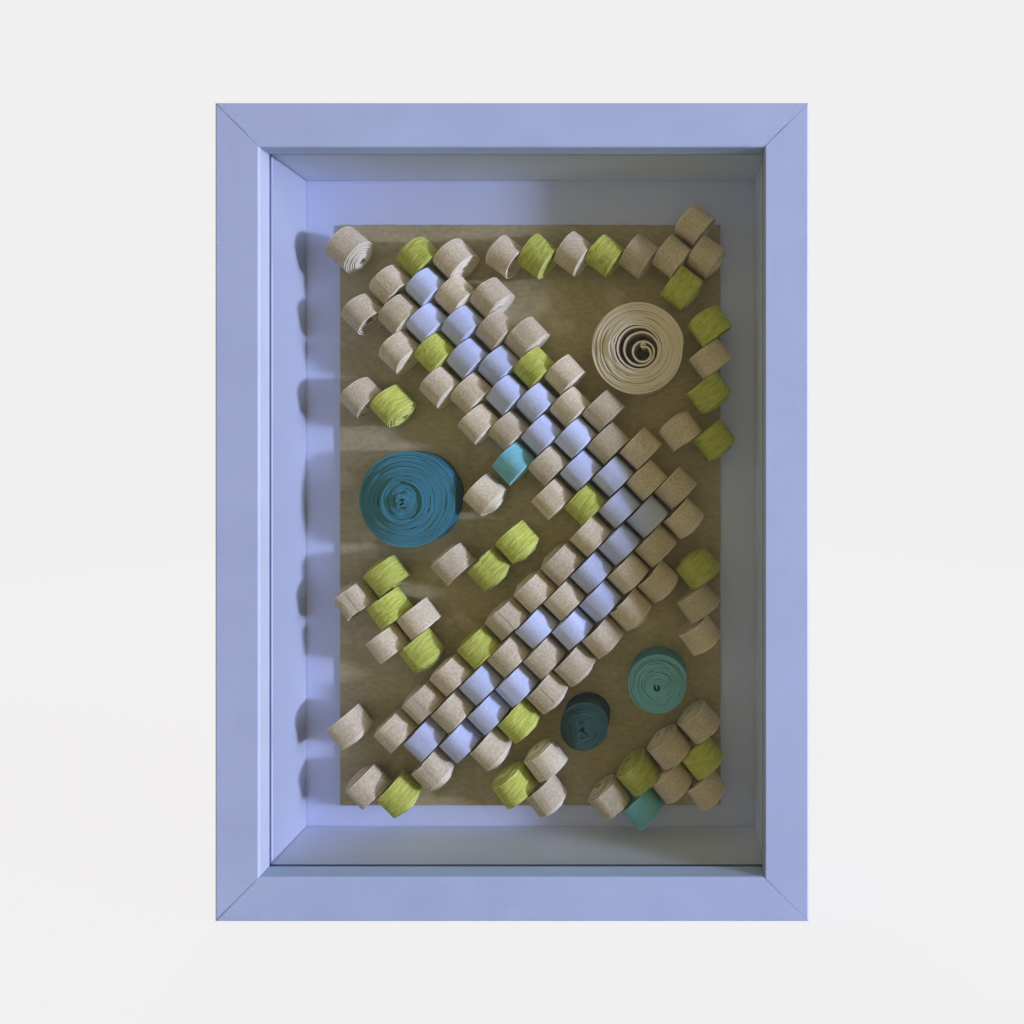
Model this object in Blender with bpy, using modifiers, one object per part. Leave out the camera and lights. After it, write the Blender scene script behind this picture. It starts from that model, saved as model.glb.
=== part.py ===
"""A framed piece of quilled paper art, made from rolled and coiled strips of paper.

A deep box frame of four mitred rails holds a pane of glass, a lining of four boards, and a back
panel that bent steel tabs keep in. A sheet of kraft card lies on the panel. Rolls of paper strip
lie on the card in brick rows, their axes level with it, and four coils stand between them on
their edges. X runs across, Z up and Y from front to back, in metres, and the frame stands on its
bottom rail with the origin in the middle of the face that it stands on.
"""

import math
import random
from dataclasses import dataclass
from itertools import chain

import bmesh
import bpy
from mathutils import Matrix, Vector

# The frame's rails
FRAME_WIDTH = 0.232
FRAME_HEIGHT = 0.320
FRAME_DEPTH = 0.045
FACE_WIDTH = 0.0174
LIP_DEPTH = 0.0067
WALL_THICKNESS = 0.0107
EDGE_ROUNDING = 0.0007
EDGE_STEPS = 2

# What the rails hold, from front to back
FIT_GAP = 0.0003
GLASS_THICKNESS = 0.002
LINER_THICKNESS = 0.005
PANEL_THICKNESS = 0.003
BACK_RECESS = 0.0049

# The steel tabs that are pushed into the rails behind the panel
TAB_WIDTH = 0.008
TAB_THICKNESS = 0.0006
TAB_INSERT = 0.0045
TAB_REACH = 0.009
TAB_CREST = 0.0014
TAB_BEND = 0.0015
SLOT_CLEARANCE = 0.0002
SIDE_TAB_SHARES = (0.24, 0.76)
END_TAB_SHARES = (0.5,)

# The toothed hanger on the panel's back
HANGER_LENGTH = 0.044
HANGER_HEIGHT = 0.009
HANGER_THICKNESS = 0.0008
HANGER_STANDOFF = 0.0012
HANGER_FOOT = 0.007
HANGER_DROP = 0.030
TOOTH_PITCH = 0.0024
TOOTH_DEPTH = 0.0014
TOOTH_TIP = 0.0002
NAIL_HOLE = 0.0018
NAIL_SIDES = 10
OVERRUN = 0.002

# The card that carries the paper work
CARD_THICKNESS = 0.001
CARD_SIDE_MARGIN = 0.0155
CARD_TOP_MARGIN = 0.020
CARD_BOTTOM_MARGIN = 0.010

# The size of card that the rolls and the coils are laid out for
LAYOUT_WIDTH = 0.169
LAYOUT_HEIGHT = 0.258

# The rolls, each one strip wound tight, with the strip's end lapped over its top
ROLL_DIAMETER = 0.0158
ROLL_WIDTH = 0.0104
ROLL_SIDES = 12
LAP_THICKNESS = 0.0005
LAP_SHARES = (0.3, 0.65, 1.0)
LAP_SIDES = (3, 6)
CORE_PUSH = 0.0005
GLUE_SINK = 0.00015
SIZE_SHARES = (0.97, 1.01)

# How the rolls lie beside each other
SIDE_GAP = 0.00095
ROW_GAP = 0.00085
SIDE_LOOSENESS = 0.0005
ROW_LOOSENESS = 0.0003
ROW_SLIDE = 0.0012
LEAN_LOOSENESS = math.radians(1.6)
LAYING_SEED = 7

# The coils, each one strip wound flat and pushed up in the middle
COIL_STRIP = 0.0118
TURN_GAP = 0.00035
COIL_EYE = 0.0013
COIL_STEPS = 16
COIL_CORNERS = 16
BLUE_COIL = 0.042
BLUE_TURN = 0.0019
BLUE_RISE = 0.0075
OPEN_COIL = 0.040
OPEN_TURN = 0.00145
OPEN_RISE = 0.0030
OPEN_RING = 0.0105
OPEN_LOOP = 0.0034
SEA_COIL = 0.026
SEA_TURN = 0.0017
SEA_RISE = 0.0045
DARK_COIL = 0.0215
DARK_TURN = 0.0016
DARK_RISE = 0.0040

# Worked out from the sizes above
FRONT = -FRAME_DEPTH / 2
GLASS_FRONT = FRONT + LIP_DEPTH + FIT_GAP
LINER_FRONT = GLASS_FRONT + GLASS_THICKNESS + FIT_GAP
PANEL_BACK = FRAME_DEPTH / 2 - BACK_RECESS
PANEL_FRONT = PANEL_BACK - PANEL_THICKNESS
CARD_FRONT = PANEL_FRONT - FIT_GAP - CARD_THICKNESS
REBATE = WALL_THICKNESS + FIT_GAP
LINING = REBATE + LINER_THICKNESS
CARD_SIDE = FRAME_WIDTH / 2 - LINING - CARD_SIDE_MARGIN
CARD_BOTTOM = LINING + CARD_BOTTOM_MARGIN
CARD_TOP = FRAME_HEIGHT - LINING - CARD_TOP_MARGIN
CARD_WIDTH = 2 * CARD_SIDE
CARD_HEIGHT = CARD_TOP - CARD_BOTTOM
LAYOUT_SCALE = min(CARD_WIDTH / LAYOUT_WIDTH, CARD_HEIGHT / LAYOUT_HEIGHT)
SIDE_PITCH = ROLL_DIAMETER + SIDE_GAP
ROW_PITCH = ROLL_WIDTH + ROW_GAP

SMOOTH_ANGLE = math.radians(35)
PARTS_NAME = "framed_quilled_paper_art"
NATURAL, PERIWINKLE, LIME, TURQUOISE = "natural", "periwinkle", "lime", "turquoise"
LETTERS = {"n": NATURAL, "p": PERIWINKLE, "l": LIME, "t": TURQUOISE}
GLUED_KINDS = (NATURAL, PERIWINKLE)
LOOSE_KINDS = (LIME, TURQUOISE)

# Colour, roughness, metallic value and transmission
FINISHES = {
    "white_foil": ((0.42, 0.46, 0.68), 0.5, 0, 0),
    "white_board": ((0.52, 0.56, 0.78), 0.7, 0, 0),
    "panel_board": ((0.60, 0.62, 0.80), 0.75, 0, 0),
    "clear_glass": ((0.95, 0.97, 0.98), 0.05, 0, 1),
    "steel": ((0.55, 0.56, 0.58), 0.4, 1, 0),
    "kraft": ((0.20, 0.16, 0.10), 0.85, 0, 0),
    NATURAL: ((0.46, 0.39, 0.31), 0.85, 0, 0),
    PERIWINKLE: ((0.37, 0.44, 0.72), 0.8, 0, 0),
    LIME: ((0.36, 0.44, 0.05), 0.8, 0, 0),
    TURQUOISE: ((0.15, 0.42, 0.48), 0.75, 0, 0),
    "blue_paper": ((0.04, 0.18, 0.27), 0.75, 0, 0),
    "sea_paper": ((0.10, 0.32, 0.38), 0.75, 0, 0),
    "dark_paper": ((0.02, 0.10, 0.12), 0.75, 0, 0),
}


@dataclass(frozen=True)
class Rail:
    """One side of the frame: its quarter turns from the left side, its length, its distance from
    the side across, and where its tabs are along it."""

    name: str
    quarters: int
    length: float
    across: float
    tab_shares: tuple


@dataclass(frozen=True)
class Coil:
    """One flat coil. It is tight over its ring, and its loops inside that are loose."""

    name: str
    material: str
    place_shares: tuple
    diameter: float
    turn: float
    rise: float
    ring: float = math.inf
    loop: float = 0


@dataclass(frozen=True)
class Patch:
    """Rolls laid as bricks. The chart's lines follow each other along the rolls' axes, and a
    line's letters run side by side, up and to the right. A dot is a bare place."""

    place_shares: tuple
    lean_degrees: float
    chart: tuple


@dataclass(frozen=True)
class Roll:
    """One roll: its middle on the card, how far its axis leans down from level, and how its own
    winding came out."""

    kind: str
    middle: Vector
    lean: float
    size_share: float
    lap_side: int
    push_share: float


RAILS = (
    Rail("left", 0, FRAME_HEIGHT, FRAME_WIDTH, SIDE_TAB_SHARES),
    Rail("top", 1, FRAME_WIDTH, FRAME_HEIGHT, END_TAB_SHARES),
    Rail("right", 2, FRAME_HEIGHT, FRAME_WIDTH, SIDE_TAB_SHARES),
    Rail("bottom", 3, FRAME_WIDTH, FRAME_HEIGHT, END_TAB_SHARES),
)

COILS = (
    Coil("blue_coil", "blue_paper", (-0.295, 0.03), BLUE_COIL, BLUE_TURN, BLUE_RISE),
    Coil("open_coil", NATURAL, (0.285, 0.28), OPEN_COIL, OPEN_TURN, OPEN_RISE, OPEN_RING, OPEN_LOOP),
    Coil("sea_coil", "sea_paper", (0.335, -0.275), SEA_COIL, SEA_TURN, SEA_RISE),
    Coil("dark_coil", "dark_paper", (0.15, -0.345), DARK_COIL, DARK_TURN, DARK_RISE),
)

# A chevron of two legs with a periwinkle core, and small clusters round the card's edges
PATCHES = (
    Patch((-0.24, -0.01), 45, (
        ".......nnl",
        ".......npn",
        ".......npn",
        ".......lpn",
        ".......npn",
        ".......npn",
        ".......npl",
        ".......npn",
        ".......tpn",
        ".......npn",
        ".......npn",
        ".......lpn",
        "nnnlnnnnpn",
        "pnpnpnpppn",
        "npppnppnnn",
        ".nlnnnnn..",
    )),
    Patch((0.20, 0.437), 37, ("n...", "l...", ".n..", ".l..", "..n.", "..nn", "..ln")),
    Patch((0.47, 0.265), 54, (".l", "n.", "l.")),
    Patch((0.415, 0.125), 52, ("n", "l")),
    Patch((-0.40, 0.18), 46, ("n", "l")),
    Patch((-0.45, 0.45), 40, ("n",)),
    Patch((-0.11, 0.035), 44, ("n",)),
    Patch((-0.335, -0.172), 52, ("nl", "l.", "nn", "l.")),
    Patch((-0.12, -0.07), 47, ("n.", "ll")),
    Patch((0.44, -0.14), 53, (".l", "n.", "n.")),
    Patch((0.03, -0.445), 53, ("ln", "n.")),
    Patch((0.37, -0.44), 50, ("nlnn", "tnl.", "..n.")),
    Patch((-0.385, -0.47), 45, ("n", "l")),
    Patch((-0.45, -0.35), 50, ("n",)),
)


def clear_scene():
    for item in list(bpy.data.objects):
        bpy.data.objects.remove(item, do_unlink=True)


def new_collection(name):
    collection = bpy.data.collections.new(name)
    bpy.context.scene.collection.children.link(collection)
    return collection


def finish(name):
    """The material of this name, made the first time that it is asked for."""
    if name in bpy.data.materials:
        return bpy.data.materials[name]
    colour, roughness, metallic, transmission = FINISHES[name]
    material = bpy.data.materials.new(name)
    material.use_nodes = True
    shader = material.node_tree.nodes["Principled BSDF"]
    shader.inputs["Base Color"].default_value = (*colour, 1)
    shader.inputs["Roughness"].default_value = roughness
    shader.inputs["Metallic"].default_value = metallic
    shader.inputs["Transmission Weight"].default_value = transmission
    return material


class Bench:
    """Where the pieces are put together: their root and their two collections."""

    def __init__(self):
        clear_scene()
        self.parts = new_collection(PARTS_NAME)
        self.cutters = new_collection("cutters")
        self.root = bpy.data.objects.new(PARTS_NAME, None)
        self.parts.objects.link(self.root)

    def piece(self, name, bm, *materials, place=None, smooth=False):
        """Makes one piece of a bmesh, which it frees."""
        item = self._object(name, bm, materials, place, smooth)
        item.parent = self.root
        self.parts.objects.link(item)
        return item

    def cut(self, item, name, bm, operation="DIFFERENCE", place=None, materials=()):
        """Takes a hidden shape from a piece, or joins it on."""
        tool = self._object(name, bm, materials, place, False)
        tool.hide_render = True
        tool.display_type = "WIRE"
        self.cutters.objects.link(tool)
        change = item.modifiers.new(name, "BOOLEAN")
        change.operation = operation
        change.solver = "EXACT"
        change.object = tool

    def _object(self, name, bm, materials, place, smooth):
        bmesh.ops.recalc_face_normals(bm, faces=bm.faces)
        mesh = bpy.data.meshes.new(name)
        bm.to_mesh(mesh)
        bm.free()
        for material in materials:
            mesh.materials.append(finish(material))
        if smooth:
            mesh.shade_smooth()
            mesh.set_sharp_from_angle(angle=SMOOTH_ANGLE)
        item = bpy.data.objects.new(name, mesh)
        if place:
            item.matrix_world = place
        return item


def box(low, high):
    """A box between two corners."""
    bm = bmesh.new()
    low, high = Vector(low), Vector(high)
    place = Matrix.Translation((low + high) / 2) @ Matrix.Diagonal(high - low).to_4x4()
    bmesh.ops.create_cube(bm, size=1, matrix=place)
    return bm


def extrude_outline(bm, outline, length):
    """Draws a flat outline in X and Y out along Z, and returns its points and both end faces."""
    face = bm.faces.new([bm.verts.new((x, y, -length / 2)) for x, y in outline])
    drawn = bmesh.ops.extrude_face_region(bm, geom=[face])["geom"]
    moved = [item for item in drawn if isinstance(item, bmesh.types.BMVert)]
    bmesh.ops.translate(bm, vec=(0, 0, length), verts=moved)
    ends = [face, *(item for item in drawn if isinstance(item, bmesh.types.BMFace))]
    return [*face.verts, *moved], ends


def extruded(outline, length):
    bm = bmesh.new()
    extrude_outline(bm, outline, length)
    return bm


def rounded(corner, before, after):
    """The points of a quarter round that takes the place of an outline's corner."""
    corner = Vector(corner)
    back = (Vector(before) - corner).normalized()
    on = (Vector(after) - corner).normalized()
    centre = corner + EDGE_ROUNDING * (back + on)
    turns = [math.pi / 2 * step / EDGE_STEPS for step in range(EDGE_STEPS + 1)]
    return [centre - EDGE_ROUNDING * (on * math.cos(turn) + back * math.sin(turn)) for turn in turns]


def rail_outline():
    """The rail's section: in X from its outer face, and in Y from its front."""
    outer_front, inner_front, lip_back = (0, 0), (FACE_WIDTH, 0), (FACE_WIDTH, LIP_DEPTH)
    outer_back = (0, FRAME_DEPTH)
    return [
        *rounded(outer_front, outer_back, inner_front),
        *rounded(inner_front, outer_front, lip_back),
        lip_back,
        (WALL_THICKNESS, LIP_DEPTH),
        (WALL_THICKNESS, FRAME_DEPTH),
        outer_back,
    ]


def mitre(bm, length):
    """Cuts both ends of a rail at 45 degrees, each short of its corner by half of the gap."""
    for end in (-1, 1):
        normal = Vector((1, 0, end)).normalized()
        corner = Vector((0, 0, end * length / 2)) - normal * FIT_GAP / 2
        cut = bmesh.ops.bisect_plane(
            bm, geom=[*bm.verts, *bm.edges, *bm.faces], plane_co=corner, plane_no=normal,
            clear_outer=True,
        )["geom_cut"]
        rim = [item for item in cut if isinstance(item, bmesh.types.BMEdge)]
        bmesh.ops.contextual_create(bm, geom=rim)


def tab_front():
    """How far behind the frame's front a tab leaves its rail."""
    return FRAME_DEPTH - BACK_RECESS + FIT_GAP + TAB_CREST


def tab_outline():
    """The tab's section: straight out of the rail, then bent down on to the panel."""
    level = tab_front()
    start, knee, tip = WALL_THICKNESS - TAB_INSERT, WALL_THICKNESS + TAB_BEND, WALL_THICKNESS + TAB_REACH
    front = [(start, level), (knee, level), (tip, level - TAB_CREST)]
    return front + [(x, y + TAB_THICKNESS) for x, y in reversed(front)]


def slot_box():
    low = (WALL_THICKNESS - TAB_INSERT, tab_front(), -TAB_WIDTH / 2)
    high = (WALL_THICKNESS + OVERRUN, tab_front() + TAB_THICKNESS, TAB_WIDTH / 2)
    spare = Vector((SLOT_CLEARANCE,) * 3)
    return box(Vector(low) - spare, Vector(high) + spare)


def make_rail(bench, rail):
    """A rail with the slots for its tabs, and the tabs."""
    turn = Matrix.Rotation(rail.quarters * math.pi / 2, 4, "Y")
    middle = Matrix.Translation((0, 0, FRAME_HEIGHT / 2))
    place = middle @ turn @ Matrix.Translation((-rail.across / 2, FRONT, 0))
    bm = extruded(rail_outline(), rail.length)
    mitre(bm, rail.length)
    body = bench.piece(f"{rail.name}_rail", bm, "white_foil", place=place)
    for number, share in enumerate(rail.tab_shares, start=1):
        along = share * rail.length - rail.length / 2
        tab_place = place @ Matrix.Translation((0, 0, along))
        bench.cut(body, f"{rail.name}_slot_{number}", slot_box(), place=tab_place)
        tab = extruded(tab_outline(), TAB_WIDTH)
        bench.piece(f"{rail.name}_tab_{number}", tab, "steel", place=tab_place)


def sheet(inset, front, back):
    """A sheet that fills the frame to this far from its outer faces."""
    low = (inset - FRAME_WIDTH / 2, front, inset)
    return box(low, (FRAME_WIDTH / 2 - inset, back, FRAME_HEIGHT - inset))


def make_lining(bench):
    """Two boards right across the rebate, and two between them."""
    front, back = LINER_FRONT, PANEL_FRONT - FIT_GAP
    side, inner = FRAME_WIDTH / 2 - REBATE, FRAME_WIDTH / 2 - LINING
    bottom, top = REBATE, FRAME_HEIGHT - REBATE
    low, high = LINING + FIT_GAP, FRAME_HEIGHT - LINING - FIT_GAP
    boards = {
        "bottom_liner": ((-side, front, bottom), (side, back, LINING)),
        "top_liner": ((-side, front, FRAME_HEIGHT - LINING), (side, back, top)),
        "left_liner": ((-side, front, low), (-inner, back, high)),
        "right_liner": ((inner, front, low), (side, back, high)),
    }
    for name, corners in boards.items():
        bench.piece(name, box(*corners), "white_board")


def hanger_outline():
    """The strip from above: feet on the panel, and a middle that stands off it."""
    end = HANGER_LENGTH / 2
    foot = end - HANGER_FOOT
    ramp = foot - HANGER_STANDOFF
    half = [(end, 0), (foot, 0), (ramp, HANGER_STANDOFF)]
    panel_side = half + [(-x, y) for x, y in reversed(half)]
    return panel_side + [(x, y + HANGER_THICKNESS) for x, y in reversed(panel_side)]


def tooth_outline(span):
    """The notches that leave a row of teeth, in X and Z, above the strip's lower edge at zero."""
    count = int(span / TOOTH_PITCH)
    start = -count * TOOTH_PITCH / 2
    points = [(start, -OVERRUN)]
    for number in range(count):
        left = start + number * TOOTH_PITCH
        points += [(left, -TOOTH_TIP), (left + TOOTH_PITCH / 2, TOOTH_DEPTH)]
    return points + [(-start, -TOOTH_TIP), (-start, -OVERRUN)]


def make_hanger(bench):
    """A pressed steel strip with two feet, a hole in each, and teeth along its lower edge."""
    top = FRAME_HEIGHT - REBATE - HANGER_DROP
    place = Matrix.Translation((0, PANEL_BACK + FIT_GAP, top - HANGER_HEIGHT / 2))
    strip = bench.piece("hanger", extruded(hanger_outline(), HANGER_HEIGHT), "steel", place=place)
    upright = Matrix.Rotation(math.pi / 2, 4, "X")
    depth = 2 * (HANGER_STANDOFF + HANGER_THICKNESS + OVERRUN)
    teeth = extruded(tooth_outline(HANGER_LENGTH - 2 * (HANGER_FOOT + HANGER_STANDOFF)), depth)
    edge = Matrix.Translation((0, 0, -HANGER_HEIGHT / 2))
    bench.cut(strip, "hanger_teeth", teeth, place=place @ edge @ upright)
    for number, side in enumerate((-1, 1), start=1):
        hole = bmesh.new()
        across = side * (HANGER_LENGTH - HANGER_FOOT) / 2
        bmesh.ops.create_cone(
            hole, cap_ends=True, segments=NAIL_SIDES, radius1=NAIL_HOLE / 2, radius2=NAIL_HOLE / 2,
            depth=depth, matrix=Matrix.Translation((across, 0, 0)) @ upright,
        )
        bench.cut(strip, f"hanger_hole_{number}", hole, place=place)


def on_card(place_shares):
    """A place in the layout from its middle: across, then up."""
    across, up = place_shares
    return Vector((across * LAYOUT_WIDTH, up * LAYOUT_HEIGHT))


def card_place(middle, lift):
    """Where a shape of the layout stands off the card, with its Z pointing out of the card. The
    layout is made as large as the card lets it be."""
    height = (CARD_BOTTOM + CARD_TOP) / 2
    spot = (middle.x * LAYOUT_SCALE, CARD_FRONT - lift, height + middle.y * LAYOUT_SCALE)
    upright = Matrix.Rotation(math.pi / 2, 4, "X")
    return Matrix.Translation(spot) @ upright @ Matrix.Scale(LAYOUT_SCALE, 4)


def corners_of_roll(roll):
    """The roll's outline on the card."""
    along = Vector((math.cos(roll.lean), -math.sin(roll.lean))) * ROLL_WIDTH / 2
    aside = Vector((math.sin(roll.lean), math.cos(roll.lean))) * ROLL_DIAMETER * roll.size_share / 2
    return [roll.middle + along + aside, roll.middle + along - aside,
            roll.middle - along - aside, roll.middle - along + aside]


def corners_of_coil(coil):
    """A polygon round the coil's outline on the card."""
    reach = coil.diameter / 2 / math.cos(math.pi / COIL_CORNERS)
    turns = [math.tau * step / COIL_CORNERS for step in range(COIL_CORNERS)]
    middle = on_card(coil.place_shares)
    return [middle + reach * Vector((math.cos(turn), math.sin(turn))) for turn in turns]


def clear_of(one, other):
    """Whether a straight line keeps two outlines apart by the gap for a fit."""
    for outline in (one, other):
        for start, end in zip(outline, outline[1:] + outline[:1]):
            across = (end - start).orthogonal().normalized()
            first = [corner.dot(across) for corner in one]
            second = [corner.dot(across) for corner in other]
            if max(min(first) - max(second), min(second) - max(first)) >= FIT_GAP:
                return True
    return False


def fits_card(roll):
    """Whether the roll's middle is on the card and its outline inside the lining."""
    half_width, half_height = LAYOUT_WIDTH / 2, LAYOUT_HEIGHT / 2
    if abs(roll.middle.x) > half_width or abs(roll.middle.y) > half_height:
        return False
    right = half_width + CARD_SIDE_MARGIN - FIT_GAP
    top, bottom = half_height + CARD_TOP_MARGIN - FIT_GAP, half_height + CARD_BOTTOM_MARGIN - FIT_GAP
    return all(abs(x) < right and -bottom < y < top for x, y in corners_of_roll(roll))


def patch_rolls(patch, chance):
    """The rolls of one patch, each a little out of true."""
    lean = math.radians(patch.lean_degrees)
    along, aside = Vector((math.cos(lean), -math.sin(lean))), Vector((math.sin(lean), math.cos(lean)))
    down = -(len(patch.chart) - 1) / 2 * ROW_PITCH
    for row, line in enumerate(patch.chart):
        out = ((row % 2 + 1 - len(line)) / 2) * SIDE_PITCH + chance.uniform(-ROW_SLIDE, ROW_SLIDE)
        for letter in line:
            middle = on_card(patch.place_shares) + down * along + out * aside
            turned = lean + chance.uniform(-LEAN_LOOSENESS, LEAN_LOOSENESS)
            size_share, push_share = chance.uniform(*SIZE_SHARES), chance.uniform(-1, 1)
            lap_side = chance.randint(*LAP_SIDES)
            if letter in LETTERS:
                yield Roll(LETTERS[letter], middle, turned, size_share, lap_side, push_share)
            out += SIDE_PITCH + chance.uniform(0, SIDE_LOOSENESS)
        down += ROW_PITCH + chance.uniform(0, ROW_LOOSENESS)


def lay_rolls():
    """Every roll that has room beside the coils and the rolls before it."""
    chance = random.Random(LAYING_SEED)
    taken = [corners_of_coil(coil) for coil in COILS]
    laid = []
    for roll in chain.from_iterable(patch_rolls(patch, chance) for patch in PATCHES):
        corners = corners_of_roll(roll)
        if fits_card(roll) and all(clear_of(corners, other) for other in taken):
            taken.append(corners)
            laid.append(roll)
    return laid


def roll_outline(roll):
    """The roll's round, flat where it is glued, with the lap's step in its upper half."""
    radius = ROLL_DIAMETER * roll.size_share / 2
    points = []
    for side in range(ROLL_SIDES):
        turn = math.tau * (side + 1 / 2) / ROLL_SIDES - math.pi / 2
        ray = Vector((math.cos(turn), math.sin(turn)))
        lap = side - roll.lap_side
        raised = radius + LAP_THICKNESS * LAP_SHARES[lap] if 0 <= lap < len(LAP_SHARES) else radius
        points.append(ray * raised)
        if lap == len(LAP_SHARES) - 1:
            points.append(ray * radius)
    return points


def add_roll(bm, roll, lift, material=0):
    """Adds a closed roll that stands this far off the card, its core pushed along its axis."""
    points, ends = extrude_outline(bm, roll_outline(roll), ROLL_WIDTH)
    for core in bmesh.ops.poke(bm, faces=ends)["verts"]:
        core.co.z += CORE_PUSH * roll.push_share
        points.append(core)
    flat = ROLL_DIAMETER * roll.size_share / 2 * math.cos(math.pi / ROLL_SIDES)
    lying = Matrix.Rotation(math.pi / 2 - roll.lean, 4, "Z") @ Matrix.Rotation(math.pi / 2, 4, "X")
    place = card_place(roll.middle, lift) @ Matrix.Translation((0, 0, flat)) @ lying
    bmesh.ops.transform(bm, matrix=place, verts=points)
    for face in {face for point in points for face in point.link_faces}:
        face.material_index = material


def make_card(bench, rolls):
    """The card, joined with the rolls of the two kinds that are glued down in rows."""
    card = box((-CARD_SIDE, CARD_FRONT, CARD_BOTTOM), (CARD_SIDE, CARD_FRONT + CARD_THICKNESS, CARD_TOP))
    card = bench.piece("card_with_rolls", card, "kraft", *GLUED_KINDS, smooth=True)
    glued = bmesh.new()
    for roll in rolls:
        if roll.kind in GLUED_KINDS:
            add_roll(glued, roll, -GLUE_SINK, 1 + GLUED_KINDS.index(roll.kind))
    bench.cut(card, "glued_rolls", glued, "UNION", materials=("kraft", *GLUED_KINDS))


def make_loose_rolls(bench, rolls):
    for kind in LOOSE_KINDS:
        same = [roll for roll in rolls if roll.kind == kind]
        for number, roll in enumerate(same, start=1):
            bm = bmesh.new()
            add_roll(bm, roll, FIT_GAP)
            bench.piece(f"{kind}_roll_{number:02}", bm, kind, smooth=True)


def coil_points(coil):
    """The lower edge of the strip's middle line, from its outer end to its eye."""
    outer = (coil.diameter - coil.turn + TURN_GAP) / 2
    ring = min(coil.ring, outer - COIL_EYE)
    step = 0
    while True:
        turns = step / COIL_STEPS
        loose = max(0, turns - ring / coil.turn)
        radius = outer - coil.turn * (turns - loose) - coil.loop * loose
        if radius < COIL_EYE or (loose and not coil.loop):
            return
        height = coil.rise * (1 - (radius / outer) ** 2)
        yield radius * math.cos(math.tau * turns), radius * math.sin(math.tau * turns), height
        step += 1


def make_coil(bench, coil):
    """A strip on its edge, wound round itself with a thin gap, and as thick as its turns allow."""
    bm = bmesh.new()
    line = [bm.verts.new(point) for point in coil_points(coil)]
    edges = [bm.edges.new(pair) for pair in zip(line, line[1:])]
    raised = bmesh.ops.extrude_edge_only(bm, edges=edges)["geom"]
    top = [item for item in raised if isinstance(item, bmesh.types.BMVert)]
    bmesh.ops.translate(bm, vec=(0, 0, COIL_STRIP), verts=top)
    place = card_place(on_card(coil.place_shares), FIT_GAP)
    item = bench.piece(coil.name, bm, coil.material, place=place, smooth=True)
    wall = item.modifiers.new("strip", "SOLIDIFY")
    wall.thickness = coil.turn - TURN_GAP
    wall.offset = 0
    wall.use_even_offset = True


def main():
    bench = Bench()
    for rail in RAILS:
        make_rail(bench, rail)
    glass = sheet(REBATE, GLASS_FRONT, GLASS_FRONT + GLASS_THICKNESS)
    bench.piece("glass_pane", glass, "clear_glass")
    make_lining(bench)
    bench.piece("back_panel", sheet(REBATE, PANEL_FRONT, PANEL_BACK), "panel_board")
    make_hanger(bench)
    rolls = lay_rolls()
    make_card(bench, rolls)
    make_loose_rolls(bench, rolls)
    for coil in COILS:
        make_coil(bench, coil)


main()
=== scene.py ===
"""The looks of a framed piece of quilled paper art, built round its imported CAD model.

The rails, the glass, the lining, the back panel, the tabs and the hanger are the CAD nodes, with
finishes of their own. The card, the rolls and the coils are made again from sheet and strip, where
the CAD model has them, and stand for its nodes. Sizes are in metres, with X across, Z up and Y from
front to back, and colours are written as they look under plain light.
"""

import logging
import math
import random
from collections.abc import Iterable, Iterator, Sequence
from dataclasses import dataclass, field
from enum import Enum
from typing import Any, Union

import bmesh
import bpy
from mathutils import Matrix, Vector, noise


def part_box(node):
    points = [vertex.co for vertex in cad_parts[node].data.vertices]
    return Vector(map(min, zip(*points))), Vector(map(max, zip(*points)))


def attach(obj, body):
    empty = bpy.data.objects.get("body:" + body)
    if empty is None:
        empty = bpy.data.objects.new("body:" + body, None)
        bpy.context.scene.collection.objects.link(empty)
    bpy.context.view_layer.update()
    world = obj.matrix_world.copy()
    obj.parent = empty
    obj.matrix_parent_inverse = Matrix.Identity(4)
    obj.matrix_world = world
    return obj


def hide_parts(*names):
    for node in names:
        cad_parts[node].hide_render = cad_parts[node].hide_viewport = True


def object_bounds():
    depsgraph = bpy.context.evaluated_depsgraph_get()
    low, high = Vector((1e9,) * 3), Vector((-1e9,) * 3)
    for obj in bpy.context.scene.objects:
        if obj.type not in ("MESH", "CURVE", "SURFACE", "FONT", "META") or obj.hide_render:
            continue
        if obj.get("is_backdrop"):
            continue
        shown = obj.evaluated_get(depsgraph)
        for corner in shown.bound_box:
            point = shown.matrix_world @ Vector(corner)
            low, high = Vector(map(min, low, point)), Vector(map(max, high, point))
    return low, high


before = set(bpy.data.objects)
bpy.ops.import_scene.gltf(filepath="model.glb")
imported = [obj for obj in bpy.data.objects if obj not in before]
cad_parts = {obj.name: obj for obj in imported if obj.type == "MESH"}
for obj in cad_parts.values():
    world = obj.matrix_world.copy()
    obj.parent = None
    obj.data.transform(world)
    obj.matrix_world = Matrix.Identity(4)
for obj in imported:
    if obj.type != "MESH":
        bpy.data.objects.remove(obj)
CAD_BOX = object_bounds()

LOG = logging.getLogger("paper_art")
BODY = "root"
MM = 0.001
CM = 0.01
SHARP = math.radians(40)
NOISE_SEED = 5
STRIP_MAP = "strip"
TINT = "tint"
PARED_END = ((0.0, 0.06), (4.5 * MM, 1.0))
WHITE = (1.0, 1.0, 1.0)

Colour = tuple[float, float, float]
Number = Union[float, "Socket"]


def tone(red: int, green: int, blue: int) -> Colour:
    """The shader's linear colour for one as a screen shows it, in parts from 0 to 255."""
    parts = [part / 255 for part in (red, green, blue)]
    return tuple(
        part / 12.92 if part <= 0.04045 else ((part + 0.055) / 1.055) ** 2.4 for part in parts
    )


def between(value: float, points: Sequence[tuple[float, float]]) -> float:
    """Reads a line of points at a value.

    Args:
        value: Where the line is read.
        points: Pairs of place and height, the places rising.

    Returns:
        The height there, level past both ends.
    """
    if value <= points[0][0]:
        return points[0][1]
    for (left, low), (right, high) in zip(points, points[1:]):
        if value <= right:
            return low + (high - low) * (value - left) / (right - left)
    return points[-1][1]


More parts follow.
